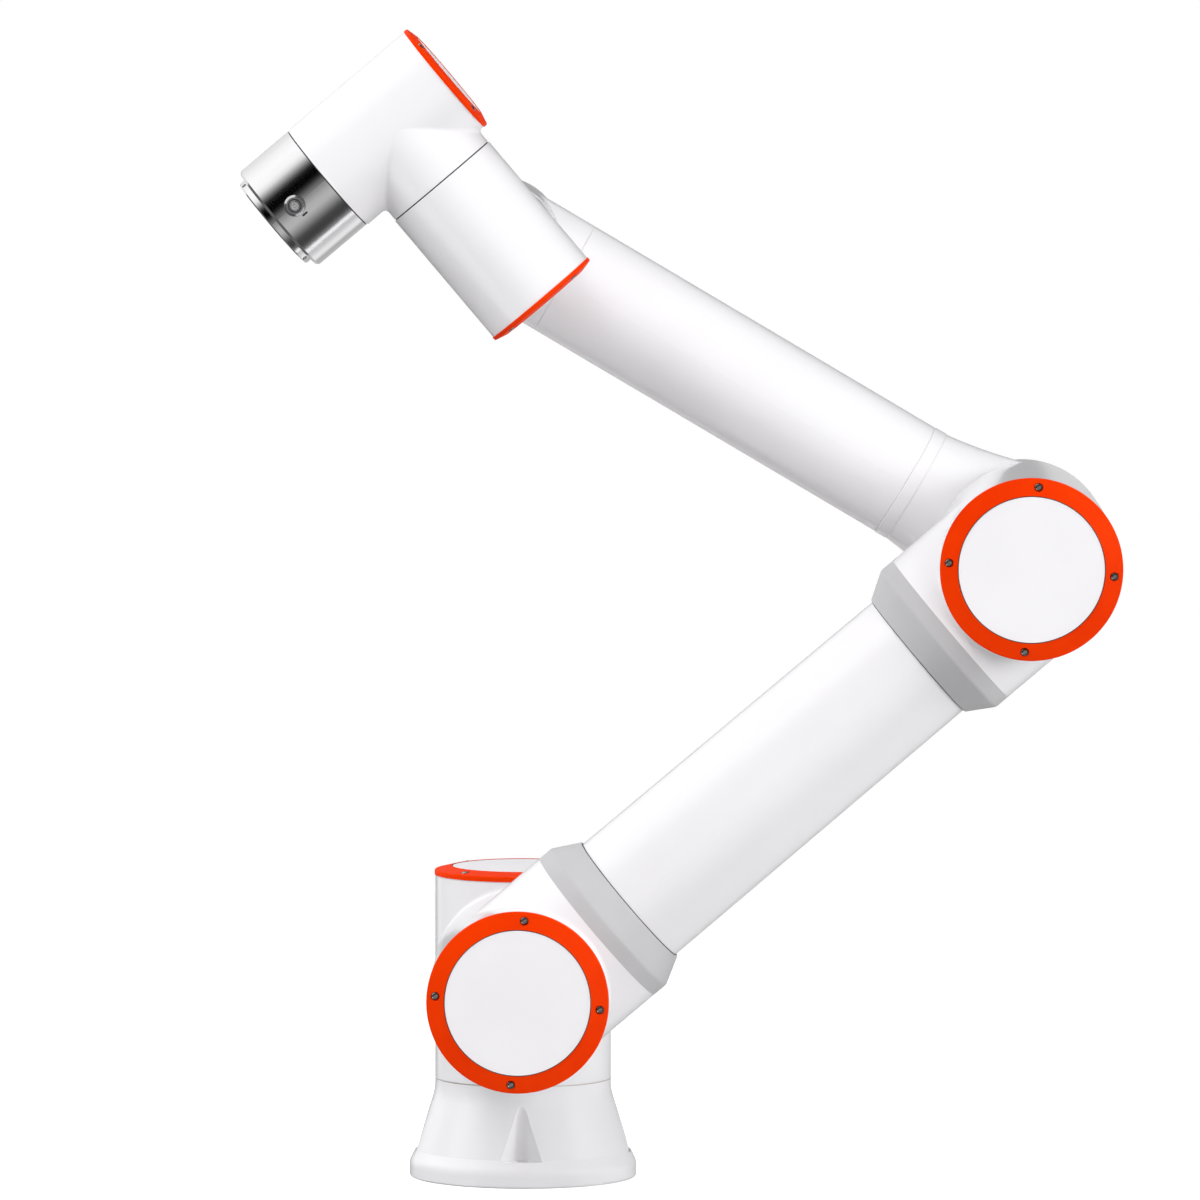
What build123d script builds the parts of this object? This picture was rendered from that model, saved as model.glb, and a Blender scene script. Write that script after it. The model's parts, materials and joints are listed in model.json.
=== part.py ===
from build123d import *
from math import atan, cos, radians, sin, tan
import os

# Six-axis robot arm, in millimetres. The origin is the centre of the foot's
# underside, +Z is up, and the arm's front, with its round caps, faces -Y.

# Where the links run: lengths between joint axes and layers across the arm
shoulder_height = 130.4
upper_arm_length = 408.0
forearm_length = 378.0
upper_arm_offset = 140.5
forearm_offset = 19.0
tool_reach = 96.0

# Directions of the links in the pose shown, degrees above +X
upper_arm_angle = 40.4
forearm_angle = 149.5
wrist_angle = 130.3
tool_angle = wrist_angle + 90

# Large joint modules: column, shoulder and elbow
large_radius = 55.0
large_neck = 13.5
large_end_wall = 4.0
large_branch_neck = 7.4
large_cap_radius = 44.8
large_ring_edge = 3.0
large_ring_crown = 5.5

# Small joint modules: the three in the wrist
small_radius = 37.6
small_neck = 14.4
small_end_wall = 3.6
small_branch_neck = 8.9
small_cap_radius = 30.6
small_ring_edge = 2.4
small_ring_crown = 4.2

# Shared form of every module
branch_step = 0.5
tee_blend = 3.2
blend_share = 0.8
ring_overhang = 0.5
rear_ring_inset = 0.4
ring_round = 1.0
cap_drop = 0.4
cap_chamfer = 0.5
screw_seat_radius = 2.7
screw_seat_depth = 1.3
screw_hole_radius = 1.3
screw_count = 4

# Rotary seams
seam_gap = 0.8
seal_clearance = 0.1
seal_inset = 0.9
seal_width = 8.0

# Fits between fixed pieces
cap_fit = 0.15
tube_fit = 0.1
socket_fit = 0.15

# Foot
foot_radius = 71.0
foot_side = 9.5
foot_top_radius = 67.3
foot_top = 17.0
foot_edge = 1.5
foot_shoulder_round = 10.0
flare_drop = 7.0
flare_round = 32.0
fillet_share = 0.9
pocket_floor = 16.0
pocket_groove_radius = 56.5
pocket_mouth_start = 58.9
pocket_mouth_half = 4.3
pocket_spread = 1.19
base_bolt_circle = 126.0
base_bolt_hole = 3.5
base_bolt_count = 4

# Cable socket on the back of the foot
socket_angle = 135.0
socket_height = 34.0
socket_seat = 55.0
socket_flange_radius = 12.0
socket_flange = 7.5
socket_barrel_radius = 9.0
socket_barrel = 5.5
socket_bore_radius = 6.5
socket_bore_depth = 8.0

# Upper arm between its two housings
tube_foot_radius = 44.2
tube_head_radius = 43.0
collar_length = 25.8
collar_land = 9.5
collar_round = 4.0
collar_lip = 1.4

# Forearm between elbow and wrist
forearm_tube_radius = 37.1
elbow_back = 43.0
elbow_back_round = 13.0
elbow_step = 0.6
elbow_branch = 77.3
elbow_waist = 36.0
elbow_waist_half = 44.6
elbow_root = 6.0
elbow_root_inset = 1.6
elbow_loft_inset = 0.3
band_length = 8.3
band_wall = 3.9
band_proud = 0.3
seam_chamfer = 0.5

# Tool flange
sleeve_radius = 37.1
sleeve_chamfer = 1.6
disc_radius = 31.5
disc_proud = 4.5
disc_seat = 6.0
disc_edge = 0.8
centring_radius = 15.75
centring_depth = 6.5
tool_bolt_circle = 50.0
tool_bolt_radius = 2.5
tool_bolt_count = 4
tool_bolt_depth = 9.0
dowel_angle = 90.0
dowel_radius = 3.0
dowel_depth = 6.0
plug_distance = 76.6
plug_radius = 6.5
plug_chamfer = 1.3
plug_seat = 33.2
plug_top = 38.4
plug_bore_radius = 3.4
plug_bore_depth = 3.2

# Sizes that follow from the ones above
large_seam = large_radius + large_neck
large_cap = large_radius + large_end_wall
large_branch = large_radius + large_branch_neck
small_seam = small_radius + small_neck
small_cap = small_radius + small_end_wall
small_branch = small_radius + small_branch_neck
base_seam_height = shoulder_height - large_seam
pocket_reach = 1.2 * foot_radius
arm_seam_depth = upper_arm_offset - large_seam
band_spigot_radius = forearm_tube_radius - band_wall
wrist_offset = forearm_offset + small_seam + small_branch
wrist_length = small_seam + small_branch


def direction(angle):
    """Unit vector in the arm's own plane, degrees above +X."""
    return Vector(cos(radians(angle)), 0, sin(radians(angle)))


def point(start, angle, length):
    return start + direction(angle) * length


# Joint centres, each in the layer of the link that it carries
column_centre = Vector(0, 0, shoulder_height)
shoulder_centre = Vector(0, -upper_arm_offset, shoulder_height)
elbow_centre = point(shoulder_centre, upper_arm_angle, upper_arm_length)
forearm_start = Vector(elbow_centre.X, -forearm_offset, elbow_centre.Z)
forearm_end = point(forearm_start, forearm_angle, forearm_length)
wrist_1_centre = Vector(forearm_end.X, -wrist_offset, forearm_end.Z)
wrist_2_centre = point(wrist_1_centre, wrist_angle, wrist_length)

front = Vector(0, -1, 0)
back = Vector(0, 1, 0)
up = Vector(0, 0, 1)

# A module's plane: Z runs from its seam to its cap, X along its branch
column_plane = Plane(column_centre, x_dir=front, z_dir=up)
shoulder_plane = Plane(shoulder_centre, x_dir=direction(upper_arm_angle), z_dir=front)
elbow_plane = Plane(elbow_centre, x_dir=-direction(upper_arm_angle), z_dir=front)
forearm_plane = Plane(forearm_end, x_dir=-direction(forearm_angle), z_dir=back)
wrist_1_plane = Plane(wrist_1_centre, x_dir=back, z_dir=-direction(wrist_angle))
wrist_2_plane = Plane(wrist_2_centre, x_dir=-direction(wrist_angle), z_dir=-direction(tool_angle))

# Planes along the links, with Z down the link
upper_arm_line = Plane(shoulder_centre, x_dir=front, z_dir=direction(upper_arm_angle))
forearm_line = Plane(forearm_start, x_dir=front, z_dir=direction(forearm_angle))
tool_line = Plane(wrist_2_centre, x_dir=front, z_dir=direction(tool_angle))


def section(plane):
    """Plane through another plane's Z axis: X is the radius, Y runs along that axis."""
    return Plane(plane.origin, x_dir=plane.x_dir, z_dir=-plane.y_dir)


def axis_of(plane):
    return Axis(plane.origin, plane.z_dir)


def write(piece, name):
    piece.part.label = name
    export_step(piece.part, f"parts/{name}.step")


def tee_housing(plane, radius, seam, cap, branch, end_wall):
    """Joint housing: a cylinder from seam to cap, with a branch to one side."""
    branch_plane = Plane(plane.origin, x_dir=plane.z_dir, z_dir=plane.x_dir)
    with BuildPart() as housing:
        with BuildSketch(plane.offset(-seam)):
            Circle(radius)
        extrude(amount=seam + cap)
        with BuildSketch(branch_plane):
            Circle(radius - branch_step)
        extrude(amount=branch)
        joint_edges = [
            edge
            for edge in housing.edges()
            if edge.geom_type not in (GeomType.LINE, GeomType.CIRCLE)
        ]
        fillet(joint_edges, min(tee_blend, blend_share * end_wall))
    return housing


def end_ring(plane, cap, outer, cap_radius, edge_height, crown_height):
    """Coloured ring on a module's closed end, domed towards its inner edge."""
    screw_circle = (outer + cap_radius) / 2
    seat = plane.offset(cap)
    with BuildPart() as ring:
        with BuildSketch(section(seat)) as profile:
            with BuildLine():
                Polyline(
                    (cap_radius, 0),
                    (outer, 0),
                    (outer, edge_height),
                    (cap_radius, crown_height),
                    close=True,
                )
            make_face()
            rim = profile.vertices().sort_by_distance((outer, edge_height))[0]
            fillet(rim, ring_round)
        revolve(axis=axis_of(seat))
        with Locations(seat.offset((edge_height + crown_height) / 2)):
            with PolarLocations(screw_circle, screw_count, start_angle=180 / screw_count):
                CounterBoreHole(screw_hole_radius, screw_seat_radius, screw_seat_depth)
    return ring


def end_cap(plane, cap, cap_radius, crown_height):
    """Round lid inside the ring, almost flush with it."""
    thickness = crown_height - cap_drop
    with BuildPart() as lid:
        with BuildSketch(plane.offset(cap)):
            Circle(cap_radius - cap_fit)
        extrude(amount=thickness)
        rim = lid.faces().sort_by(axis_of(plane))[-1].edges()
        chamfer(rim, cap_chamfer)
    return lid


def seam_seal(plane, radius, seam):
    """Dark seal that closes the rotary seam, seated on the module's own face."""
    face = Plane(plane.origin - plane.z_dir * (seam - seam_gap / 2), plane.x_dir, -plane.z_dir)
    with BuildPart() as seal:
        with BuildSketch(face):
            Circle(radius - seal_inset)
            Circle(radius - seal_inset - seal_width, mode=Mode.SUBTRACT)
        extrude(amount=seam_gap - seal_clearance)
    return seal


def base_casting():
    """Flared foot with four bolt pockets and a seat for the cable socket."""
    top = base_seam_height - seam_gap / 2
    flare_top = top - flare_drop
    flare_lean = atan((foot_top_radius - large_radius) / (flare_top - foot_top))
    flare_room = flare_drop / tan(flare_lean / 2)
    with BuildPart() as base:
        with BuildSketch(Plane.XZ) as profile:
            with BuildLine():
                Polyline(
                    (0, 0),
                    (foot_radius, 0),
                    (foot_radius, foot_side),
                    (foot_top_radius, foot_top),
                    (large_radius, flare_top),
                    (large_radius, top),
                    (0, top),
                    close=True,
                )
            make_face()
            for corner, radius in (
                ((foot_radius, 0), foot_edge),
                ((foot_radius, foot_side), foot_shoulder_round),
                ((large_radius, flare_top), min(flare_round, fillet_share * flare_room)),
            ):
                fillet(profile.vertices().sort_by_distance(corner)[0], radius)
        revolve(axis=Axis.Z)
        extrude(pocket_outline(), amount=top - pocket_floor, mode=Mode.SUBTRACT)
        with Locations(Plane.XY.offset(pocket_floor)):
            with PolarLocations(base_bolt_circle / 2, base_bolt_count):
                Hole(base_bolt_hole)
        with BuildSketch(socket_plane()):
            Circle(socket_flange_radius + socket_fit)
        extrude(amount=foot_radius, mode=Mode.SUBTRACT)
    return base


def pocket_outline():
    """Bolt pockets in plan: a rounded groove that opens outwards."""
    mouth_half = pocket_mouth_half + pocket_spread * (pocket_reach - pocket_mouth_start)
    with BuildSketch(Plane.XY.offset(pocket_floor)) as outline:
        with BuildLine():
            ThreePointArc(
                (pocket_mouth_start, -pocket_mouth_half),
                (pocket_groove_radius, 0),
                (pocket_mouth_start, pocket_mouth_half),
            )
            Polyline(
                (pocket_mouth_start, pocket_mouth_half),
                (pocket_reach, mouth_half),
                (pocket_reach, -mouth_half),
                (pocket_mouth_start, -pocket_mouth_half),
            )
        pocket = make_face()
        for turn in range(1, base_bolt_count):
            add(pocket.rotate(Axis.Z, turn * 360 / base_bolt_count))
    return outline.sketch


def socket_plane():
    """Plane of the cable socket's seat, looking out of the back of the foot."""
    out = Vector(cos(radians(socket_angle)), sin(radians(socket_angle)), 0)
    return Plane(out * socket_seat + up * socket_height, x_dir=up, z_dir=out)


def cable_socket():
    """Round panel socket: a flange, a barrel and an open bore."""
    plane = socket_plane()
    with BuildPart() as socket:
        with BuildSketch(plane):
            Circle(socket_flange_radius)
        extrude(amount=socket_flange)
        with BuildSketch(plane.offset(socket_flange)):
            Circle(socket_barrel_radius)
        extrude(amount=socket_barrel)
        with BuildSketch(plane.offset(socket_flange + socket_barrel)):
            Circle(socket_bore_radius)
        extrude(amount=-socket_bore_depth, mode=Mode.SUBTRACT)
    return socket


def tube_radius(distance):
    """Radius of the upper arm tube, which tapers towards the elbow."""
    share = (distance - large_branch) / (upper_arm_length - 2 * large_branch)
    return tube_foot_radius + (tube_head_radius - tube_foot_radius) * share


def collar(line, start, facing):
    """Bevelled collar round the tube, from the housing's face towards the tube."""
    end = start + facing * collar_length
    outer = large_radius - branch_step
    inner_start = tube_radius(start) + tube_fit
    inner_end = tube_radius(end) + tube_fit
    with BuildPart() as band:
        with BuildSketch(section(line)) as profile:
            with BuildLine():
                Polyline(
                    (inner_start, start),
                    (outer, start),
                    (outer, start + facing * collar_land),
                    (inner_end + collar_lip, end),
                    (inner_end, end),
                    close=True,
                )
            make_face()
            land_end = (outer, start + facing * collar_land)
            fillet(profile.vertices().sort_by_distance(land_end)[0], collar_round)
        revolve(axis=axis_of(line))
    return band


def upper_arm_tube():
    """Tube between the two upper arm housings, a little wider at its foot."""
    with BuildPart() as tube:
        with BuildSketch(upper_arm_line.offset(large_branch)):
            Circle(tube_foot_radius)
        with BuildSketch(upper_arm_line.offset(upper_arm_length - large_branch)):
            Circle(tube_head_radius)
        loft()
    return tube


def forearm_elbow_housing():
    """Elbow casting: a round drum on the joint that narrows into the forearm."""
    drum_radius = large_radius - elbow_step
    drum_front = arm_seam_depth - forearm_offset - seam_gap / 2
    drum = Plane(forearm_start, x_dir=direction(forearm_angle), z_dir=front)
    with BuildPart() as housing:
        with BuildSketch(drum.offset(-elbow_back)):
            Circle(drum_radius)
        extrude(amount=elbow_back + drum_front)
        rear = housing.faces().sort_by(axis_of(drum))[0].edges()
        fillet(rear, elbow_back_round)
        with BuildSketch(forearm_line.offset(elbow_root)):
            Ellipse(forearm_tube_radius - elbow_root_inset, drum_radius - elbow_loft_inset)
        with BuildSketch(forearm_line.offset(elbow_waist)):
            Ellipse(forearm_tube_radius - elbow_root_inset / 2, elbow_waist_half)
        with BuildSketch(forearm_line.offset(elbow_branch)):
            Circle(forearm_tube_radius)
        loft()
    return housing


def outer_rims(piece):
    """The two widest round edges of a piece, where it meets its neighbours."""
    return piece.edges().filter_by(GeomType.CIRCLE).sort_by(SortBy.RADIUS)[-2:]


def elbow_band():
    """Narrow band between the elbow casting and the forearm tube."""
    with BuildPart() as band:
        with BuildSketch(forearm_line.offset(elbow_branch)):
            Circle(forearm_tube_radius + band_proud)
            Circle(band_spigot_radius + tube_fit, mode=Mode.SUBTRACT)
        extrude(amount=band_length)
        chamfer(outer_rims(band), seam_chamfer)
    return band


def forearm_tube():
    """Tube from the elbow casting to the wrist housing, with a spigot through the band."""
    end = forearm_length - small_branch
    with BuildPart() as tube:
        with BuildSketch(forearm_line.offset(elbow_branch)):
            Circle(band_spigot_radius)
        extrude(amount=band_length)
        with BuildSketch(forearm_line.offset(elbow_branch + band_length)):
            Circle(forearm_tube_radius)
        extrude(amount=end - elbow_branch - band_length)
        chamfer(outer_rims(tube), seam_chamfer)
    return tube


def plug_plane():
    """Plane of the tool plug's seat, on the front of the sleeve."""
    centre = point(wrist_2_centre, tool_angle, plug_distance) + front * plug_seat
    return Plane(centre, x_dir=direction(tool_angle), z_dir=front)


def flange_sleeve():
    """Bare metal sleeve that turns with the tool, with a recess for the disc."""
    start = small_seam + seam_gap / 2
    end = tool_reach - disc_proud
    with BuildPart() as sleeve:
        with BuildSketch(tool_line.offset(start)):
            Circle(sleeve_radius)
        extrude(amount=end - start)
        rim = sleeve.faces().sort_by(axis_of(tool_line))[-1].edges()
        chamfer(rim, sleeve_chamfer)
        with BuildSketch(tool_line.offset(end)):
            Circle(disc_radius + tube_fit)
        extrude(amount=-disc_seat, mode=Mode.SUBTRACT)
        with BuildSketch(plug_plane()):
            Circle(plug_radius + socket_fit)
        extrude(amount=sleeve_radius, mode=Mode.SUBTRACT)
    return sleeve


def flange_disc():
    """Tool plate: centring recess, four threaded holes and a dowel hole."""
    start = tool_reach - disc_proud - disc_seat
    face = tool_line.offset(tool_reach)
    with BuildPart() as disc:
        with BuildSketch(tool_line.offset(start)):
            Circle(disc_radius)
        extrude(amount=tool_reach - start)
        rim = disc.faces().sort_by(axis_of(tool_line))[-1].edges()
        chamfer(rim, disc_edge)
        with Locations(face):
            Hole(centring_radius, centring_depth)
        with Locations(face):
            with PolarLocations(tool_bolt_circle / 2, tool_bolt_count, start_angle=180 / tool_bolt_count):
                Hole(tool_bolt_radius, tool_bolt_depth)
        with Locations(face):
            with PolarLocations(tool_bolt_circle / 2, 1, start_angle=dowel_angle):
                Hole(dowel_radius, dowel_depth)
    return disc


def tool_plug():
    """Round socket for the tool's cable."""
    plane = plug_plane()
    with BuildPart() as plug:
        with BuildSketch(plane):
            Circle(plug_radius)
        extrude(amount=plug_top - plug_seat)
        rim = plug.faces().sort_by(axis_of(plane))[-1].edges()
        chamfer(rim, plug_chamfer)
        with BuildSketch(plane.offset(plug_top - plug_seat)):
            Circle(plug_bore_radius)
        extrude(amount=-plug_bore_depth, mode=Mode.SUBTRACT)
    return plug


def large_module(plane, branch, prefix):
    """Housing, seal, ring and cap of a large joint module."""
    seam = large_seam - seam_gap / 2
    housing = tee_housing(plane, large_radius, seam, large_cap, branch, large_end_wall)
    write(housing, f"{prefix}_housing")
    write(seam_seal(plane, large_radius, large_seam), f"{prefix}_seal")
    outer = large_radius + ring_overhang
    ring = end_ring(plane, large_cap, outer, large_cap_radius, large_ring_edge, large_ring_crown)
    write(ring, f"{prefix}_ring")
    write(end_cap(plane, large_cap, large_cap_radius, large_ring_crown), f"{prefix}_cap")


def small_module(plane, branch, prefix, overhang=ring_overhang):
    """Housing, seal, ring and cap of a small joint module."""
    seam = small_seam - seam_gap / 2
    housing = tee_housing(plane, small_radius, seam, small_cap, branch, small_end_wall)
    write(housing, f"{prefix}_housing")
    write(seam_seal(plane, small_radius, small_seam), f"{prefix}_seal")
    outer = small_radius + overhang
    ring = end_ring(plane, small_cap, outer, small_cap_radius, small_ring_edge, small_ring_crown)
    write(ring, f"{prefix}_ring")
    write(end_cap(plane, small_cap, small_cap_radius, small_ring_crown), f"{prefix}_cap")


def main():
    os.makedirs("parts", exist_ok=True)

    write(base_casting(), "base_casting")
    write(cable_socket(), "cable_socket")

    large_module(column_plane, arm_seam_depth - seam_gap / 2, "shoulder")

    large_module(shoulder_plane, large_branch, "upper_arm_lower")
    large_module(elbow_plane, large_branch, "upper_arm_upper")
    write(collar(upper_arm_line, large_branch, 1), "lower_collar")
    write(collar(upper_arm_line, upper_arm_length - large_branch, -1), "upper_collar")
    write(upper_arm_tube(), "upper_arm_tube")

    write(forearm_elbow_housing(), "forearm_elbow_housing")
    write(elbow_band(), "forearm_band")
    write(forearm_tube(), "forearm_tube")
    small_module(forearm_plane, small_branch, "forearm_wrist", -rear_ring_inset)

    small_module(wrist_1_plane, small_branch - seam_gap / 2, "wrist_1")
    small_module(wrist_2_plane, small_branch - seam_gap / 2, "wrist_2")

    write(flange_sleeve(), "flange_sleeve")
    write(flange_disc(), "flange_disc")
    write(tool_plug(), "tool_plug")


main()
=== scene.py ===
import json
import math

import bmesh
import bpy
from mathutils import Euler, Matrix, Vector


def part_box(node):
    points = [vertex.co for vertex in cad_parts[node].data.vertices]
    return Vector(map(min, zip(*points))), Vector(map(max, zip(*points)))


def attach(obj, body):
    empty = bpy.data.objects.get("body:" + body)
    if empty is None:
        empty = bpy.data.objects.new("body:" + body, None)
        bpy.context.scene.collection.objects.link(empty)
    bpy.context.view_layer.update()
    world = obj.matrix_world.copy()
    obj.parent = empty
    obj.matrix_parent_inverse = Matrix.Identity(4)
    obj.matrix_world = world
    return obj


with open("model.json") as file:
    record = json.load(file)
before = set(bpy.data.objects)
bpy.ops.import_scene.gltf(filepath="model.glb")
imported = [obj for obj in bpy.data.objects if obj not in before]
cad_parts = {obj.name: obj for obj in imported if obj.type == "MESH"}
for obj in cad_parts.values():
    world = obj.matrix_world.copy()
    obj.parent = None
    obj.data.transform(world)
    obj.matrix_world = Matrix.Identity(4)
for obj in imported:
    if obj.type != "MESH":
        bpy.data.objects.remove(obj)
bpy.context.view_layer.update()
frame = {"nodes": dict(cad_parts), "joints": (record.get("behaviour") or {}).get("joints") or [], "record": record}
print("frame loaded with", len(frame["nodes"]), "nodes")

millimetre = 0.001
mergeDistance = 1e-7
skyward = Vector((0, 0, 1))
frontward = Vector((0, -1, 0))
jointNamed = {joint["name"]: joint for joint in frame["joints"]}
mountNamed = {mount["name"]: mount for mount in frame["record"]["mounts"]}
bodyOf = {node: body for body, nodes in frame["record"]["behaviour"]["bodies"].items() for node in nodes}


def axisOf(name):
    return Vector(jointNamed[name]["axis"]).normalized()


def pointOf(name):
    return Vector(jointNamed[name]["pos_m"])


def middleOf(node):
    low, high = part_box(node)
    return (low + high) / 2


# Radius of a turned node whose axis is square to Y
def radiusOf(node):
    low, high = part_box(node)
    return (high.y - low.y) / 2


def spotsOf(node):
    return [vertex.co for vertex in frame["nodes"][node].data.vertices]


# How far a spot lies from the line through place along axis
def offAxis(spot, place, axis):
    across = spot - place
    return (across - across.dot(axis) * axis).length


# The spot moved along the axis, until its own height along that axis is the one given
def atHeight(spot, height, axis):
    return spot + (height - spot.dot(axis)) * axis


# A placement matrix: local Z goes along outward, local X as near to across as it can
def placed(origin, outward, across):
    zAxis = outward.normalized()
    xAxis = (across - across.dot(zAxis) * zAxis).normalized()
    yAxis = zAxis.cross(xAxis)
    turn = Matrix((xAxis, yAxis, zAxis)).transposed().to_4x4()
    return Matrix.Translation(origin) @ turn


def mountPlace(name, across):
    mount = mountNamed[name]
    return placed(Vector(mount["pos_m"]), Vector(mount["axis"]), across)


nodeGrid = {"across": 190, "down": 60, "rows": 5}


# Each input is given as a value, or as the socket that feeds it
def addNode(tree, kind, inputs=None, **settings):
    node = tree.nodes.new(kind)
    count = len(tree.nodes)
    node.location = (nodeGrid["across"] * count, -nodeGrid["down"] * (count % nodeGrid["rows"]))
    for name, value in settings.items():
        setattr(node, name, value)
    for name, value in (inputs or {}).items():
        if isinstance(value, bpy.types.NodeSocket):
            tree.links.new(value, node.inputs[name])
        else:
            node.inputs[name].default_value = value
    return node


def addNoise(tree, spot, scale, detail, roughness=0.5):
    return addNode(tree, "ShaderNodeTexNoise", {
        "Vector": spot, "Scale": scale, "Detail": detail, "Roughness": roughness}).outputs["Fac"]


def addMath(tree, operation, first, second):
    return addNode(tree, "ShaderNodeMath", {0: first, 1: second}, operation=operation).outputs[0]


def newMaterial(name):
    material = bpy.data.materials.new(name)
    material.use_nodes = True
    material.node_tree.nodes.clear()
    return material, material.node_tree


# What every skin group takes and gives, and the span that a noise really fills
skinTakes = {"Vector": "Vector", "Bright": "Color", "Shaded": "Color", "Scale": "Float",
             "Roughness Low": "Float", "Roughness High": "Float"}
skinGives = {"Color": "Color", "Roughness": "Float", "Height": "Float"}
noiseSpan = {"From Min": 0.3, "From Max": 0.7}

# A color mix node's sockets by number, because their names repeat
mixFactor, mixFirst, mixSecond, mixResult = 0, 6, 7, 2


def newSkin(name):
    tree = bpy.data.node_groups.new(name, "ShaderNodeTree")
    for sockets, side in ((skinTakes, "INPUT"), (skinGives, "OUTPUT")):
        for label, kind in sockets.items():
            tree.interface.new_socket(label, in_out=side, socket_type="NodeSocket" + kind)
    return tree, tree.nodes.new("NodeGroupInput").outputs


# The tone mixes the two colors, the grain sets the roughness, the height is for the bump
def finishSkin(tree, given, tone, grain, height):
    color = addNode(tree, "ShaderNodeMix", {
        mixFactor: tone, mixFirst: given["Shaded"], mixSecond: given["Bright"]}, data_type="RGBA")
    gloss = addNode(tree, "ShaderNodeMapRange", {
        "Value": grain, **noiseSpan, "To Min": given["Roughness Low"], "To Max": given["Roughness High"]})
    addNode(tree, "NodeGroupOutput", {
        "Color": color.outputs[mixResult], "Roughness": gloss.outputs[0], "Height": height})
    return tree


paintSkin = {"driftScale": 9.0, "driftDetail": 3.0, "peelDetail": 2.0, "peelRoughness": 0.4}


# Sprayed paint: slow drift of tone, and a fine orange peel that the roughness follows
def makePaintSkin(values):
    tree, given = newSkin("paintSkin")
    drift = addNoise(tree, given["Vector"], values["driftScale"], values["driftDetail"])
    tone = addNode(tree, "ShaderNodeMapRange", {"Value": drift, **noiseSpan})
    peel = addNoise(tree, given["Vector"], given["Scale"], values["peelDetail"], values["peelRoughness"])
    return finishSkin(tree, given, tone.outputs[0], peel, peel)


mouldGrain = {"grainDetail": 5.0, "grainRoughness": 0.6, "cloudScale": 22.0, "cloudDetail": 4.0,
              "cloudLow": 0.32, "cloudHigh": 0.68}


# Moulded plastic: spark-eroded grain in two sizes, and a cloudy tone
def makeMouldGrain(values):
    tree, given = newSkin("mouldGrain")
    coarse = addNode(tree, "ShaderNodeTexVoronoi", {
        "Vector": given["Vector"], "Scale": given["Scale"]}, feature="SMOOTH_F1").outputs["Distance"]
    fine = addNoise(tree, given["Vector"], given["Scale"], values["grainDetail"], values["grainRoughness"])
    cloud = addNoise(tree, given["Vector"], values["cloudScale"], values["cloudDetail"])
    tone = addNode(tree, "ShaderNodeMapRange", {
        "Value": cloud, "From Min": values["cloudLow"], "From Max": values["cloudHigh"]})
    return finishSkin(tree, given, tone.outputs[0], fine, addMath(tree, "MULTIPLY", coarse, fine))


turnedLines = {"lineDetail": 4.0, "lineRoughness": 0.65, "smearScale": 35.0, "smearDetail": 3.0}


# Lathe lines: a noise of distance along the axis and radius only, so it rings the part
def makeTurnedLines(values):
    tree, given = newSkin("turnedLines")
    parts = addNode(tree, "ShaderNodeSeparateXYZ", {"Vector": given["Vector"]}).outputs
    flat = addNode(tree, "ShaderNodeCombineXYZ", {"X": parts["X"], "Y": parts["Y"]})
    radius = addNode(tree, "ShaderNodeVectorMath", {0: flat.outputs[0]}, operation="LENGTH")
    lathe = addNode(tree, "ShaderNodeCombineXYZ", {"X": parts["Z"], "Y": radius.outputs["Value"]})
    lines = addNoise(tree, lathe.outputs[0], given["Scale"], values["lineDetail"], values["lineRoughness"])
    smear = addNoise(tree, given["Vector"], values["smearScale"], values["smearDetail"])
    return finishSkin(tree, given, smear, lines, lines)


skins = {
    "paint": makePaintSkin(paintSkin),
    "mould": makeMouldGrain(mouldGrain),
    "turned": makeTurnedLines(turnedLines),
}

# A finish that doesn't name one of these has it as here
plainFinish = {"metallic": 0.0, "specular": 0.5, "coat": 0.0, "coatRoughness": 0.1}

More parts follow.
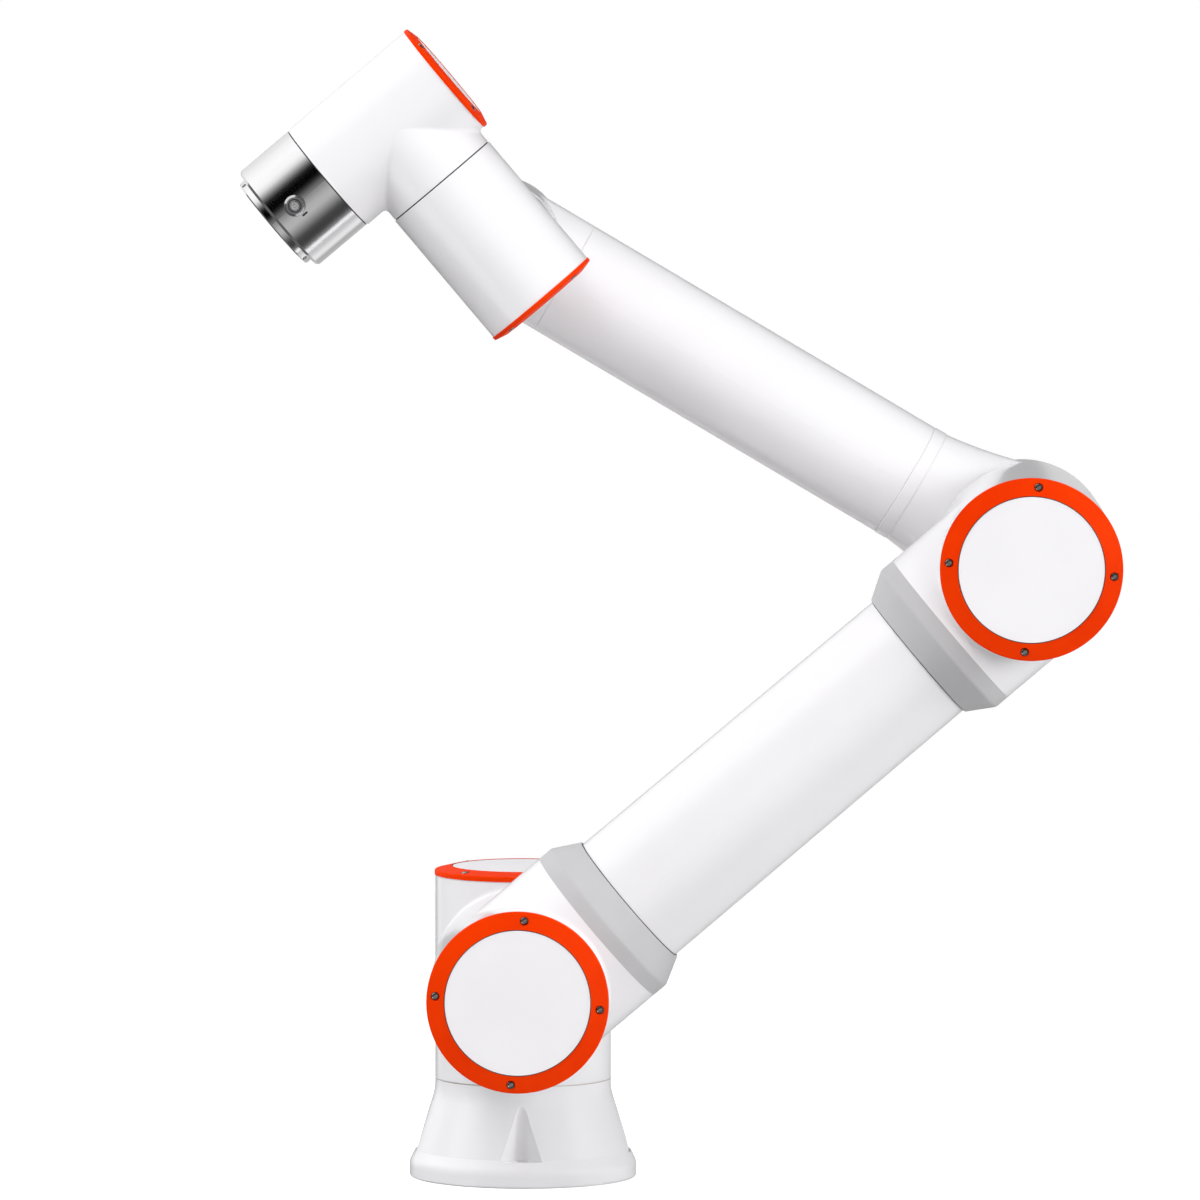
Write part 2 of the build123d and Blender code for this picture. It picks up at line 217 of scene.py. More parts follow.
# Tones from shaded to bright, roughness from low to high, bump strength and depth in metres
finishes = {
    "housingPaint": {
        "skin": "paint", "scale": 520.0, "bright": (0.876, 0.867, 0.888), "shaded": (0.850, 0.842, 0.864),
        "roughness": (0.36, 0.46), "bump": 0.05, "depth": 0.00006, "specular": 0.35, "coat": 0.7},
    "capSatin": {
        "skin": "mould", "scale": 1400.0, "bright": (0.872, 0.860, 0.886), "shaded": (0.850, 0.838, 0.864),
        "roughness": (0.42, 0.52), "bump": 0.06, "depth": 0.00008, "specular": 0.3},
    "ringOrange": {
        "skin": "mould", "scale": 1100.0, "bright": (0.88, 0.044, 0.0), "shaded": (0.80, 0.034, 0.0),
        "roughness": (0.40, 0.52), "bump": 0.08, "depth": 0.00010, "specular": 0.04},
    "collarGrey": {
        "skin": "mould", "scale": 1200.0, "bright": (0.54, 0.535, 0.545), "shaded": (0.50, 0.495, 0.508),
        "roughness": (0.42, 0.54), "bump": 0.08, "depth": 0.00010, "specular": 0.3},
    # Dark rubber of the real seals, also worn by the bands that are painted gap shade
    "sealRubberAndGapShade": {
        "skin": "mould", "scale": 1800.0, "bright": (0.055, 0.055, 0.058), "shaded": (0.032, 0.032, 0.034),
        "roughness": (0.60, 0.75), "bump": 0.10, "depth": 0.00008},
    "sealGrey": {
        "skin": "mould", "scale": 1800.0, "bright": (0.80, 0.76, 0.70), "shaded": (0.72, 0.68, 0.62),
        "roughness": (0.55, 0.70), "bump": 0.10, "depth": 0.00008},
    "turnedMetal": {
        "skin": "turned", "scale": 1700.0, "bright": (0.92, 0.92, 0.93), "shaded": (0.86, 0.86, 0.87),
        "roughness": (0.11, 0.17), "bump": 0.04, "depth": 0.00003, "metallic": 1.0},
    "socketNickel": {
        "skin": "turned", "scale": 2200.0, "bright": (0.62, 0.61, 0.58), "shaded": (0.52, 0.51, 0.49),
        "roughness": (0.24, 0.38), "bump": 0.06, "depth": 0.00004, "metallic": 1.0},
    "plugNickel": {
        "skin": "turned", "scale": 2600.0, "bright": (0.66, 0.66, 0.66), "shaded": (0.56, 0.56, 0.57),
        "roughness": (0.16, 0.24), "bump": 0.06, "depth": 0.00004, "metallic": 1.0},
    "screwSteel": {
        "skin": "mould", "scale": 2500.0, "bright": (0.44, 0.42, 0.41), "shaded": (0.34, 0.32, 0.31),
        "roughness": (0.14, 0.22), "bump": 0.03, "depth": 0.00003, "metallic": 1.0},
    "pinGold": {
        "skin": "mould", "scale": 3000.0, "bright": (0.86, 0.62, 0.26), "shaded": (0.78, 0.54, 0.20),
        "roughness": (0.20, 0.30), "bump": 0.04, "depth": 0.00002, "metallic": 1.0},
    "insertBlack": {
        "skin": "mould", "scale": 2200.0, "bright": (0.040, 0.040, 0.042), "shaded": (0.024, 0.024, 0.026),
        "roughness": (0.45, 0.60), "bump": 0.08, "depth": 0.00006},
    "insertGrey": {
        "skin": "mould", "scale": 2200.0, "bright": (0.50, 0.50, 0.52), "shaded": (0.40, 0.40, 0.42),
        "roughness": (0.45, 0.60), "bump": 0.08, "depth": 0.00006},
}


# A turned finish needs the placement of the axis that its lines ring
def makeFinish(kind, lathePlace=None):
    values = {**plainFinish, **finishes[kind]}
    material, tree = newMaterial(kind)
    spot = addNode(tree, "ShaderNodeTexCoord").outputs["Object"]
    if lathePlace is not None:
        spot = addNode(tree, "ShaderNodeMapping", {
            "Vector": spot, "Location": lathePlace.to_translation(), "Rotation": lathePlace.to_euler()},
            vector_type="TEXTURE").outputs[0]
    skin = addNode(tree, "ShaderNodeGroup", node_tree=skins[values["skin"]])
    tree.links.new(spot, skin.inputs["Vector"])
    skin.inputs["Bright"].default_value = (*values["bright"], 1)
    skin.inputs["Shaded"].default_value = (*values["shaded"], 1)
    skin.inputs["Scale"].default_value = values["scale"]
    skin.inputs["Roughness Low"].default_value = values["roughness"][0]
    skin.inputs["Roughness High"].default_value = values["roughness"][1]
    bump = addNode(tree, "ShaderNodeBump", {
        "Strength": values["bump"], "Distance": values["depth"], "Height": skin.outputs["Height"]})
    shader = addNode(tree, "ShaderNodeBsdfPrincipled", {
        "Base Color": skin.outputs["Color"], "Roughness": skin.outputs["Roughness"],
        "Metallic": values["metallic"], "Specular IOR Level": values["specular"],
        "Coat Weight": values["coat"], "Coat Roughness": values["coatRoughness"],
        "Normal": bump.outputs["Normal"]})
    addNode(tree, "ShaderNodeOutputMaterial", {"Surface": shader.outputs[0]})
    return material


toolPlace = placed(pointOf("tool_turn"), axisOf("tool_turn"), frontward)
plugPlace = mountPlace("tool_socket", axisOf("tool_turn"))
inletPlace = mountPlace("cable_inlet", skyward)

slotFinish = {
    "white_paint": makeFinish("housingPaint"),
    "white_cap": makeFinish("capSatin"),
    "orange_ring": makeFinish("ringOrange"),
    "grey_collar": makeFinish("collarGrey"),
    "dark_seal": makeFinish("sealRubberAndGapShade"),
    "bare_metal": makeFinish("turnedMetal", toolPlace),
    "socket_metal": makeFinish("socketNickel", inletPlace),
    "plug_metal": makeFinish("plugNickel", plugPlace),
}
screwSteel = makeFinish("screwSteel")
pinGold = makeFinish("pinGold")
insertBlack = makeFinish("insertBlack")
insertGrey = makeFinish("insertGrey")
nodeFinish = {"shoulder_seal": makeFinish("sealGrey")}

for subpart in frame["record"]["subparts"]:
    node = frame["nodes"][subpart["node"]]
    node.data.materials.clear()
    node.data.materials.append(nodeFinish.get(subpart["node"]) or slotFinish[subpart["material_slot"]])
print("materials given to the frame's nodes")


# An object from a bmesh, which is freed
def newObject(name, mesh):
    data = bpy.data.meshes.new(name)
    mesh.to_mesh(data)
    mesh.free()
    thing = bpy.data.objects.new(name, data)
    bpy.context.scene.collection.objects.link(thing)
    return thing


# A new piece from a bmesh in metres, already in its place; without a material it has its slot's own
def addPiece(name, mesh, body, slotName, material=None, smoothAngle=35.0):
    piece = newObject(name, mesh)
    piece.data.materials.append(material or slotFinish[slotName])
    piece.data.shade_smooth()
    piece.data.set_sharp_from_angle(angle=math.radians(smoothAngle))
    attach(piece, body)


# Puts a copy of one bmesh into another, moved by a matrix
def stamp(target, source, matrix):
    data = bpy.data.meshes.new("stamp")
    source.to_mesh(data)
    data.transform(matrix)
    target.from_mesh(data)
    bpy.data.meshes.remove(data)


def onlyVerts(items):
    return [item for item in items if isinstance(item, bmesh.types.BMVert)]


# A turned shape: its profile of (radius, height) in millimetres is spun about local Z
def turned(profile, steps):
    mesh = bmesh.new()
    points = [mesh.verts.new((radius * millimetre, 0, height * millimetre)) for radius, height in profile]
    edges = [mesh.edges.new(pair) for pair in zip(points, points[1:])]
    bmesh.ops.spin(mesh, geom=points + edges, cent=(0, 0, 0), axis=(0, 0, 1), angle=math.tau, steps=steps,
                   use_merge=True, use_duplicate=False)
    bmesh.ops.remove_doubles(mesh, verts=mesh.verts, dist=mergeDistance)
    bmesh.ops.recalc_face_normals(mesh, faces=mesh.faces)
    return mesh


ringScrew = {"headRadius": 2.5, "rim": 0.35, "crown": 1.95, "socketRadius": 1.0, "socketDepth": 1.1,
             "steps": 28}

# The steps of every dome from its rim inward, as shares of the head's radius, and how full it is
screwDome = {"shares": (1.0, 0.94, 0.84, 0.70, 0.54), "fullness": 0.8, "socketSides": 6}


# A low domed head with a six-sided socket; its seat is at height 0
def makeScrew(values):
    rise, reach = values["crown"] - values["rim"], values["headRadius"]
    shares = (*screwDome["shares"], values["socketRadius"] / reach)
    dome = [(reach * share, values["rim"] + rise * math.sqrt(1 - share ** 2) ** screwDome["fullness"])
            for share in shares]
    crown = dome[-1][1]
    head = turned([(0, 0), (reach, 0)] + dome, values["steps"])
    rim = [edge for edge in head.edges if edge.is_boundary]
    socket = bmesh.ops.create_circle(head, segments=screwDome["socketSides"],
                                     radius=values["socketRadius"] * millimetre,
                                     matrix=Matrix.Translation((0, 0, crown * millimetre)))
    socketEdges = list({edge for vert in socket["verts"] for edge in vert.link_edges})
    bmesh.ops.bridge_loops(head, edges=rim + socketEdges)
    wall = bmesh.ops.extrude_edge_only(head, edges=socketEdges)["geom"]
    floorVerts = onlyVerts(wall)
    bmesh.ops.translate(head, verts=floorVerts, vec=(0, 0, -values["socketDepth"] * millimetre))
    floorEdges = [item for item in wall if isinstance(item, bmesh.types.BMEdge)
                  and all(vert in floorVerts for vert in item.verts)]
    bmesh.ops.contextual_create(head, geom=floorEdges)
    bmesh.ops.recalc_face_normals(head, faces=head.faces)
    return head


ringScrews = {"seatBelowCrown": {"large": 2.55, "small": 2.2}, "startAngle": 45.0, "count": 4, "twistRate": 1.7}

# Each screwed ring's size, the axis it faces along, and the place that its first angle starts from
screwedRings = {
    "shoulder": ("large", axisOf("base_turn"), pointOf("shoulder_swing")),
    "upper_arm_lower": ("large", axisOf("shoulder_swing"), pointOf("elbow_fold")),
    "upper_arm_upper": ("large", -axisOf("elbow_fold"), pointOf("shoulder_swing")),
    "forearm_wrist": ("small", -axisOf("wrist_swing"), pointOf("elbow_fold")),
    "wrist_1": ("small", axisOf("wrist_turn"), middleOf("forearm_wrist_housing")),
    "wrist_2": ("small", -axisOf("tool_turn"), pointOf("wrist_turn")),
}


# The crown's height along the axis, and the middle of the ring's inner and outer radius
def ringSizes(node, axis):
    spots, centre = spotsOf(node), middleOf(node)
    reach = [offAxis(spot, centre, axis) for spot in spots]
    return max(spot.dot(axis) for spot in spots), (min(reach) + max(reach)) / 2


# Four screws in the seats of each ring, each left at another angle by its screwdriver
def makeRingScrews(values):
    screw = makeScrew(ringScrew)
    for module, (size, axis, towards) in screwedRings.items():
        ring = module + "_ring"
        crown, circle = ringSizes(ring, axis)
        centre = atHeight(middleOf(ring), crown - values["seatBelowCrown"][size] * millimetre, axis)
        ringPlace = placed(centre, axis, towards - centre)
        joined = bmesh.new()
        for index in range(values["count"]):
            angle = math.radians(values["startAngle"]) + math.tau * index / values["count"]
            spot = Vector((math.cos(angle), math.sin(angle), 0)) * circle
            twist = Matrix.Rotation(angle * values["twistRate"] + index, 4, "Z")
            stamp(joined, screw, ringPlace @ Matrix.Translation(spot) @ twist)
        addPiece(module + "_screws", joined, bodyOf[ring], "bare_metal", screwSteel)
    screw.free()


makeRingScrews(ringScrews)
print("ring screws placed")


# A closed flat band about local Z: its inner and outer radius and its low and high end, in metres
def band(inner, outer, low, high, steps=96):
    corners = [(inner, low), (outer, low), (outer, high), (inner, high), (inner, low)]
    return turned([(radius / millimetre, height / millimetre) for radius, height in corners], steps)


capGapShade = {"inset": 0.42, "outset": 0.12, "depth": 0.4, "proud": 0.02}


# A dark band between each cap and its ring: painted shade that stands for the shadow in the gap there
def makeCapGapShade(values):
    for module, (_, axis, towards) in screwedRings.items():
        cap = module + "_cap"
        spots, centre = spotsOf(cap), middleOf(cap)
        top = max(spot.dot(axis) for spot in spots)
        reach = max(offAxis(spot, centre, axis) for spot in spots)
        shadeBand = band(reach - values["inset"] * millimetre, reach + values["outset"] * millimetre,
                    -values["depth"] * millimetre, values["proud"] * millimetre)
        shadeBand.transform(placed(atHeight(centre, top, axis), axis, towards - centre))
        addPiece(cap + "_gap_shade", shadeBand, bodyOf[cap], "dark_seal")


makeCapGapShade(capGapShade)

collarContactShade = {"sunk": 0.4, "proud": 0.4, "thick": 0.45}


# A thin dark band where the upper arm's tapered tube leaves each collar: painted shade that stands for the contact
# shadow there
def makeCollarContactShade(values):
    start = pointOf("shoulder_swing")
    along = (pointOf("elbow_fold") - start).normalized()

    def lengths(node):
        return [(spot - start).dot(along) for spot in spotsOf(node)]

    def reachAt(low, high):
        return max(offAxis(spot, start, along) for spot in spotsOf("upper_arm_tube")
                   if low <= (spot - start).dot(along) <= high)

    foot, head = min(lengths("upper_arm_tube")), max(lengths("upper_arm_tube"))
    footReach, headReach = reachAt(foot, foot + millimetre), reachAt(head - millimetre, head)
    for node, mouth, side in (("lower_collar", max(lengths("lower_collar")), 1),
                              ("upper_collar", min(lengths("upper_collar")), -1)):
        radius = footReach + (headReach - footReach) * (mouth - foot) / (head - foot)
        contactBand = band(radius - values["sunk"] * millimetre, radius + values["proud"] * millimetre,
                      -values["thick"] * millimetre, values["thick"] * millimetre)
        contactBand.transform(placed(start + mouth * along, along * side, frontward))
        addPiece(node + "_contact_shade", contactBand, bodyOf[node], "dark_seal")


makeCollarContactShade(collarContactShade)
# The cap and collar bands are painted shade, in the dark seal finish
print("seams and gaskets placed")

pinShape = {"sides": 12, "shoulder": 0.6, "tip": 0.55}


# A round pin; its shoulder and tip are shares of its radius
def makePin(radius, height):
    shoulder, tip = radius * pinShape["shoulder"], radius * pinShape["tip"]
    return turned([(0, 0), (radius, 0), (radius, height - shoulder), (tip, height), (0, height)],
                  pinShape["sides"])


toolPlug = {
    "mouth": 1.6, "floor": -1.6, "steps": 40,
    "shellRadius": 3.2, "shellWall": 0.55, "shellProud": 0.25, "shellRound": 0.12, "insertSunk": 0.6,
    "sealRadius": 3.9, "sealThickness": 0.36, "sealFlatness": 0.5, "sealSides": 12, "sealSmooth": 80.0,
    "pinCircle": 0.95, "pinCount": 4, "pinRadius": 0.34, "pinTop": 1.3,
}


# The inside of the tool socket: the bore's middle is local height 0 and its mouth is above
def makeToolPlug(values):
    outer, inner = values["shellRadius"], values["shellRadius"] - values["shellWall"]
    top, bottom, cut = values["mouth"] + values["shellProud"], values["floor"], values["shellRound"]
    shell = turned([(inner, bottom), (outer, bottom), (outer, top - cut), (outer - cut, top),
                    (inner + cut, top), (inner, top - cut), (inner, bottom)], values["steps"])
    shell.transform(plugPlace)
    addPiece("tool_plug_shell", shell, "tool_flange", "plug_metal")
    face = values["mouth"] - values["insertSunk"]
    insert = turned([(0, bottom), (inner, bottom), (inner, face), (0, face)], values["steps"])
    insert.transform(plugPlace)
    addPiece("tool_plug_insert", insert, "tool_flange", "dark_seal", insertGrey)
    width = values["sealThickness"]
    height = width * values["sealFlatness"]
    turns = [math.tau * side / values["sealSides"] for side in range(values["sealSides"] + 1)]
    seal = turned([(values["sealRadius"] + width * math.cos(turn), values["mouth"] + height * math.sin(turn))
                   for turn in turns], values["steps"])
    seal.transform(plugPlace)
    addPiece("tool_plug_seal", seal, "tool_flange", "dark_seal", smoothAngle=values["sealSmooth"])
    pins, pin = bmesh.new(), makePin(values["pinRadius"], values["pinTop"])
    for index in range(values["pinCount"]):
        angle = math.tau * (index + 0.5) / values["pinCount"]
        spot = Vector((math.cos(angle), math.sin(angle), 0)) * values["pinCircle"] * millimetre
        stamp(pins, pin, plugPlace @ Matrix.Translation(spot))
    pin.free()
    addPiece("tool_plug_pins", pins, "tool_flange", "plug_metal", pinGold)


makeToolPlug(toolPlug)

toolMarks = {
    "slotAlong": 75.1, "slotSide": 7.8, "slotLength": 4.0, "slotWidth": 1.3, "slotProud": 0.06, "slotSides": 16,
    "rimAlong": 93.75, "rimAngles": (-64, 68, 116, -112), "rimSink": 0.25,
    "rimScrew": {"headRadius": 1.5, "rim": 0.25, "crown": 0.4, "socketRadius": 0.75, "socketDepth": 0.35,
                 "steps": 20},
}


# A flat black mark beside the tool socket, painted shade that stands for an oil-plug slot, and four small screws
# round the tool plate's rim
def makeToolMarks(values):
    origin, along = pointOf("tool_turn"), axisOf("tool_turn")
    aside = frontward.cross(along).normalized()
    sleeveRadius, side = radiusOf("flange_sleeve"), values["slotSide"] * millimetre
    outward = (frontward * math.sqrt(sleeveRadius ** 2 - side ** 2) + aside * side).normalized()
    spot = origin + along * values["slotAlong"] * millimetre + outward * sleeveRadius
    slot = bmesh.new()
    bmesh.ops.create_circle(slot, cap_ends=True, segments=values["slotSides"],
                            radius=values["slotWidth"] / 2 * millimetre)
    half = (values["slotLength"] - values["slotWidth"]) / 2 * millimetre
    for vert in slot.verts:
        vert.co.x += math.copysign(half, vert.co.x)
    raised = bmesh.ops.extrude_face_region(slot, geom=slot.faces[:])["geom"]
    bmesh.ops.translate(slot, verts=onlyVerts(raised), vec=(0, 0, values["slotProud"] * millimetre))
    bmesh.ops.recalc_face_normals(slot, faces=slot.faces)
    slot.transform(placed(spot, outward, along))
    addPiece("tool_sleeve_slot_shade", slot, "tool_flange", "dark_seal", insertBlack)
    reach = radiusOf("flange_disc") - values["rimSink"] * millimetre
    rimScrews, screw = bmesh.new(), makeScrew(values["rimScrew"])
    for angle in values["rimAngles"]:
        outward = Matrix.Rotation(math.radians(angle), 3, along) @ frontward
        spot = origin + along * values["rimAlong"] * millimetre + outward * reach
        stamp(rimScrews, screw, placed(spot, outward, along))
    screw.free()
    addPiece("tool_disc_screws", rimScrews, "tool_flange", "dark_seal", insertBlack)


makeToolMarks(toolMarks)

cableSocket = {
    "floor": -4.0, "insertRadius": 5.9, "insertTop": -0.6, "insertRound": 0.3, "steps": 48,
    "pinCircles": ((4.1, 9), (1.7, 3)), "pinRadius": 0.5, "pinTop": 2.6, "pinSunk": 0.4,
    "threadRadius": 9.0, "threadHeight": 0.45, "threadSunk": 0.1, "rootHalf": 0.35, "crestHalf": 0.06,
    "threadPitch": 1.0, "threadStart": -0.9, "threadTurns": 4, "threadSteps": 40,
}


# The inside of the cable socket and its outer thread; the bore's middle is local height 0
def makeCableSocket(values):
    radius, top, cut = values["insertRadius"], values["insertTop"], values["insertRound"]
    insert = turned([(0, values["floor"]), (radius, values["floor"]), (radius, top - cut),
                     (radius - cut, top), (0, top)], values["steps"])
    insert.transform(inletPlace)
    addPiece("cable_socket_insert", insert, "base", "dark_seal", insertBlack)
    pins, pin = bmesh.new(), makePin(values["pinRadius"], values["pinTop"] - top + values["pinSunk"])
    for circle, count in values["pinCircles"]:
        for index in range(count):
            angle = math.tau * index / count
            spot = Vector((circle * math.cos(angle), circle * math.sin(angle), top - values["pinSunk"]))
            stamp(pins, pin, inletPlace @ Matrix.Translation(spot * millimetre))
    pin.free()
    addPiece("cable_socket_pins", pins, "base", "socket_metal", pinGold)
    thread = bmesh.new()
    root, crest = values["threadRadius"] - values["threadSunk"], values["threadRadius"] + values["threadHeight"]
    section = [(root, -values["rootHalf"]), (crest, -values["crestHalf"]),
               (crest, values["crestHalf"]), (root, values["rootHalf"])]
    points = [thread.verts.new((out * millimetre, 0, (values["threadStart"] + along) * millimetre))
              for out, along in section]
    edges = [thread.edges.new(pair) for pair in zip(points, points[1:] + points[:1])]
    thread.faces.new(points)
    advance = values["threadPitch"] * millimetre / values["threadSteps"]
    spun = bmesh.ops.spin(thread, geom=points + edges, cent=(0, 0, 0), axis=(0, 0, 1),
                          dvec=(0, 0, advance), angle=math.tau * values["threadTurns"],
                          steps=values["threadSteps"] * values["threadTurns"],
                          use_merge=False, use_duplicate=False)
    bmesh.ops.contextual_create(thread, geom=onlyVerts(spun["geom_last"]))
    bmesh.ops.recalc_face_normals(thread, faces=thread.faces)
    thread.transform(inletPlace)
    addPiece("cable_socket_thread", thread, "base", "socket_metal")


makeCableSocket(cableSocket)
print("plug and cable socket finished")

# The camera stands where the photograph was taken from
view = {"place": (0.1172, -6.8026, 0.8519), "lens": 327.96, "sensor": 36.0, "clip": (0.1, 100),
        "pitchDown": 4.126, "yaw": -0.587, "roll": 0.119}


def makeCamera(values):
    data = bpy.data.cameras.new("camera")
    data.lens = values["lens"]
    data.sensor_width = values["sensor"]
    data.clip_start, data.clip_end = values["clip"]
    camera = bpy.data.objects.new("camera", data)
    turn = (Matrix.Rotation(math.radians(-values["yaw"]), 4, "Z")
            @ Matrix.Rotation(math.radians(90 - values["pitchDown"]), 4, "X")
            @ Matrix.Rotation(math.radians(values["roll"]), 4, "Z"))
    camera.matrix_world = Matrix.Translation(values["place"]) @ turn
    bpy.context.scene.collection.objects.link(camera)
    bpy.context.scene.camera = camera


makeCamera(view)

white = (1, 1, 1, 1)
studio = {
    "ambient": 0.03, "mirrored": 0.12,
    "floorRadius": 40.0, "floorSides": 96, "floorColor": (0.60, 0.60, 0.60, 1), "floorGlow": 0.80,
    "fadeStart": 0.5, "fadeEnd": 1.6,
    "tunnelRadius": 3.0, "tunnelHalf": 2.5, "tunnelSides": 60,
}

# Soft round lamps by their azimuth from the front, height angle and power
lamps = {
    "upperLeft": (-50, 50, 104.0), "left": (-75, 15, 36.0), "front": (0, 35, 32.0),
    "lowerRight": (35, 12, 56.0), "right": (75, 12, 94.0), "upperRight": (50, 50, 30.0),
    "leftBack": (-120, 25, 86.0), "back": (180, 35, 30.0),
}
lampCommon = {"aim": (0.08, -0.1, 0.38), "distance": 4.5, "size": 2.4}

# A round white disc below left of the front that glows though it is no lamp, seen in reflections alone: it paints
# the glint on the screws
paintedGlint = {"azimuth": -53.0, "height": -34.0, "distance": 4.6, "radius": 1.2, "sides": 48, "glow": 1.5}

# Painted reflection for the polished metal: angle about the tool axis from the front, and the grey level that a
# glowing wall shows there
paintedReflectionSteps = (
    (-172, 0.75), (-135, 0.90), (-120, 1.00), (-95, 1.10), (-72, 1.05), (-62, 0.85), (-54, 0.45),
    (-46, 0.14), (-39, 0.012), (-30, 0.0), (-20, 0.0), (-14, 0.02), (-7, 0.11), (0, 0.23), (8, 0.36),
    (18, 0.48), (28, 0.50), (38, 0.33), (46, 0.18), (54, 0.07), (64, 0.05), (72, 0.06), (80, 0.18),
    (88, 0.52), (104, 0.62), (118, 0.90), (127, 0.84), (135, 0.45), (150, 0.48), (172, 0.60),
)


# White to the camera, greyer in reflections, and only a little light on the object
def makeWorld(values):
    world = bpy.data.worlds.new("studio")
    bpy.context.scene.world = world
    world.use_nodes = True
    tree = world.node_tree
    tree.nodes.clear()
    path = addNode(tree, "ShaderNodeLightPath").outputs
    seen = addMath(tree, "MAXIMUM", path["Is Camera Ray"], path["Is Transmission Ray"])
    unseen = addNode(tree, "ShaderNodeMapRange", {
        "Value": path["Is Glossy Ray"], "To Min": values["ambient"], "To Max": values["mirrored"]})
    strength = addNode(tree, "ShaderNodeMapRange", {
        "Value": seen, "To Min": unseen.outputs[0], "To Max": 1.0})
    background = addNode(tree, "ShaderNodeBackground", {"Color": white, "Strength": strength.outputs[0]})
    addNode(tree, "ShaderNodeOutputWorld", {"Surface": background.outputs[0]})


# Pale floor: it takes the object's shadow close by and goes over to plain white further out
def makeFloor(values):
    mesh = bmesh.new()
    bmesh.ops.create_circle(mesh, cap_ends=True, segments=values["floorSides"], radius=values["floorRadius"])
    floor = newObject("floor", mesh)
    floor.visible_glossy = False
    material, tree = newMaterial("paleFloor")
    spot = addNode(tree, "ShaderNodeTexCoord").outputs["Object"]
    distance = addNode(tree, "ShaderNodeVectorMath", {0: spot}, operation="LENGTH").outputs["Value"]
    fade = addNode(tree, "ShaderNodeMapRange", {
        "Value": distance, "From Min": values["fadeStart"], "From Max": values["fadeEnd"]},
        interpolation_type="SMOOTHSTEP").outputs[0]
    seen = addNode(tree, "ShaderNodeLightPath").outputs["Is Camera Ray"]
    diffuse = addNode(tree, "ShaderNodeBsdfDiffuse", {"Color": values["floorColor"]})
    glow = addNode(tree, "ShaderNodeEmission", {
        "Color": white, "Strength": addMath(tree, "MULTIPLY", seen, values["floorGlow"])})
    near = addNode(tree, "ShaderNodeAddShader", {0: diffuse.outputs[0], 1: glow.outputs[0]})
    far = addNode(tree, "ShaderNodeEmission", {"Color": white, "Strength": 1.0})
    surface = addNode(tree, "ShaderNodeMixShader", {
        0: addMath(tree, "MULTIPLY", fade, seen), 1: near.outputs[0], 2: far.outputs[0]})
    addNode(tree, "ShaderNodeOutputMaterial", {"Surface": surface.outputs[0]})
    floor.data.materials.append(material)


# The way from the aim to a lamp or to the glowing glint disc: its azimuth is from the front, anticlockwise from
# above
def wayTo(azimuth, height):
    return Euler((math.radians(-height), 0, math.radians(azimuth))).to_matrix() @ frontward


def makeLamp(name, azimuth, height, power):
    data = bpy.data.lights.new(name, "AREA")
    data.shape = "DISK"
    data.size = lampCommon["size"]
    data.energy = power
    lamp = bpy.data.objects.new(name, data)
    away = wayTo(azimuth, height)
    place = Vector(lampCommon["aim"]) + away * lampCommon["distance"]
    lamp.matrix_world = Matrix.Translation(place) @ away.to_track_quat("Z", "Y").to_matrix().to_4x4()
    lamp.visible_glossy = False
    bpy.context.scene.collection.objects.link(lamp)
    print("lamp", name, [round(value, 3) for value in place])


# Leaves the object to glossy rays alone, with a glow of the given color and strength: a painted reflection, as it
# is no lamp
def mirrorOnly(thing, material, tree, color, strength):
    for kind in ("camera", "diffuse", "shadow", "transmission", "volume_scatter"):
        setattr(thing, "visible_" + kind, False)
    glow = addNode(tree, "ShaderNodeEmission", {"Color": color, "Strength": strength})
    addNode(tree, "ShaderNodeOutputMaterial", {"Surface": glow.outputs[0]})
    thing.data.materials.append(material)


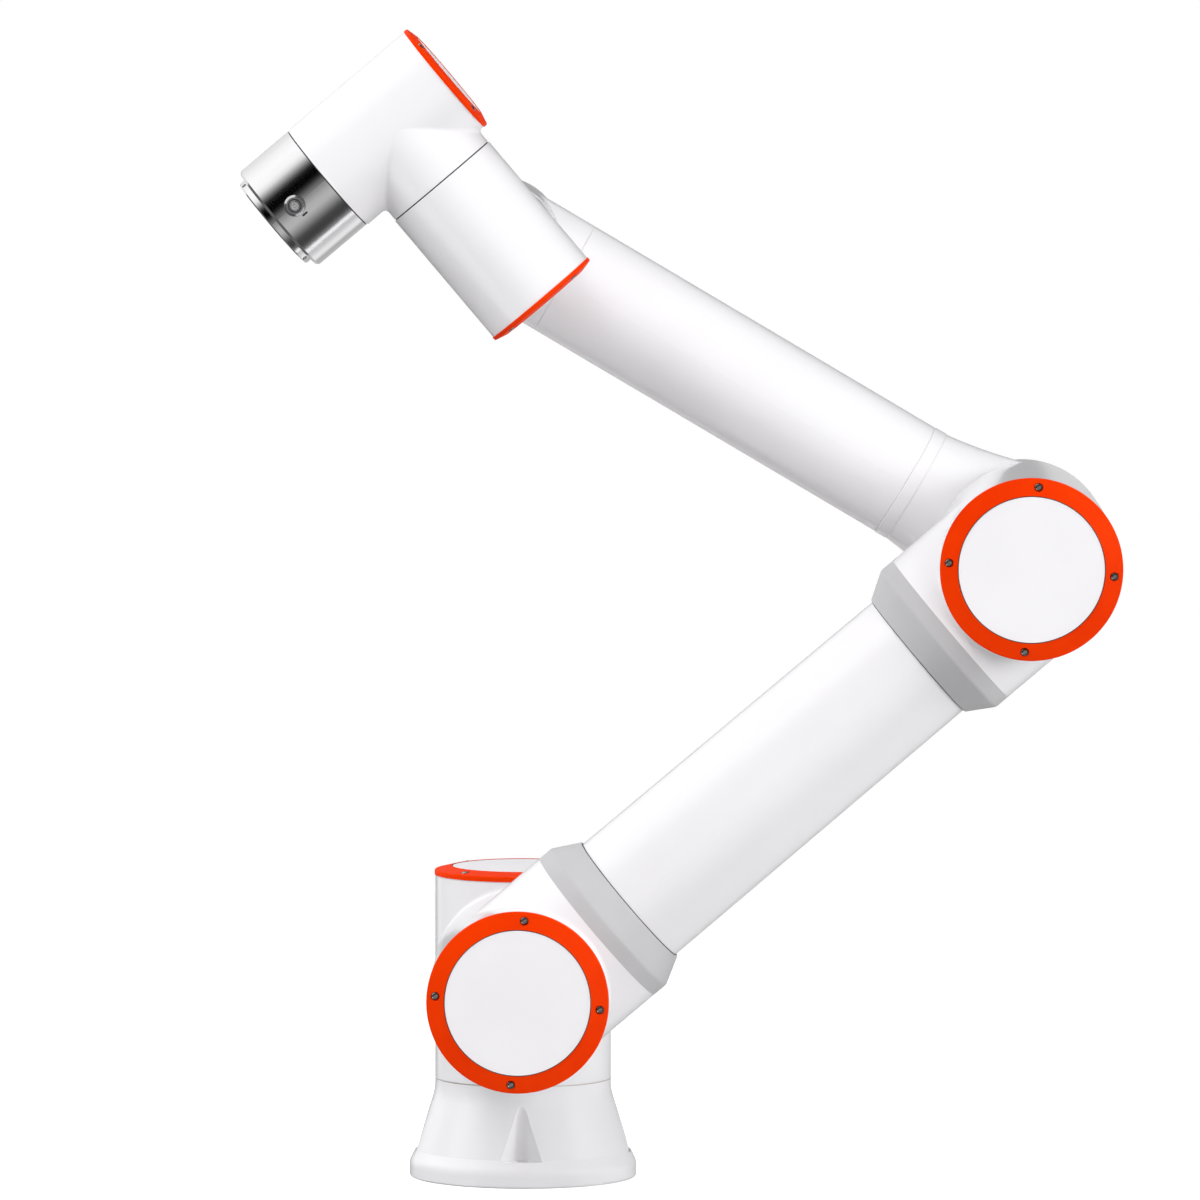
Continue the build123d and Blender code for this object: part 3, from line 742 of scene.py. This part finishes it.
def makePaintedGlint(values):
    mesh = bmesh.new()
    bmesh.ops.create_circle(mesh, cap_ends=True, segments=values["sides"], radius=values["radius"])
    disc = newObject("paintedGlint", mesh)
    away = wayTo(values["azimuth"], values["height"])
    disc.matrix_world = placed(Vector(lampCommon["aim"]) + away * values["distance"], -away, skyward)
    mirrorOnly(disc, *newMaterial("paintedGlintGlow"), white, values["glow"])


# A glowing cylinder wall about the tool axis, with a narrow gap at the back, seen in reflections alone: it paints
# the light and dark bands on the metal
def makePaintedReflection(values):
    low, high = paintedReflectionSteps[0][0], paintedReflectionSteps[-1][0]
    mesh = bmesh.new()
    start = Matrix.Rotation(math.radians(low), 4, "Z")
    ends = [mesh.verts.new(start @ Vector((values["tunnelRadius"], 0, side * values["tunnelHalf"])))
            for side in (-1, 1)]
    edge = mesh.edges.new(ends)
    bmesh.ops.spin(mesh, geom=ends + [edge], cent=(0, 0, 0), axis=(0, 0, 1), angle=math.radians(high - low),
                   steps=values["tunnelSides"], use_duplicate=False)
    tunnel = newObject("tunnel", mesh)
    tunnel.matrix_world = placed(pointOf("tool_turn"), -axisOf("tool_turn"), frontward)
    material, tree = newMaterial("paintedReflectionGrey")
    spot = addNode(tree, "ShaderNodeTexCoord").outputs["Object"]
    parts = addNode(tree, "ShaderNodeSeparateXYZ", {"Vector": spot}).outputs
    share = addNode(tree, "ShaderNodeMapRange", {
        "Value": addMath(tree, "ARCTAN2", parts["Y"], parts["X"]),
        "From Min": math.radians(low), "From Max": math.radians(high)})
    ramp = addNode(tree, "ShaderNodeValToRGB", {"Fac": share.outputs[0]})
    elements = ramp.color_ramp.elements
    while len(elements) < len(paintedReflectionSteps):
        elements.new(0.5)
    # All positions come before the colors, because the ramp sorts itself as they change
    for element, (degrees, grey) in zip(elements, paintedReflectionSteps):
        element.position = (degrees - low) / (high - low)
    for element, (degrees, grey) in zip(elements, paintedReflectionSteps):
        element.color = (grey, grey, grey, 1)
    mirrorOnly(tunnel, material, tree, ramp.outputs["Color"], 1.0)


makeWorld(studio)
makeFloor(studio)
makePaintedGlint(paintedGlint)
for lampName, (azimuth, height, power) in lamps.items():
    makeLamp(lampName, azimuth, height, power)
makePaintedReflection(studio)
bpy.context.scene.view_settings.view_transform = "Standard"
print("studio lit")
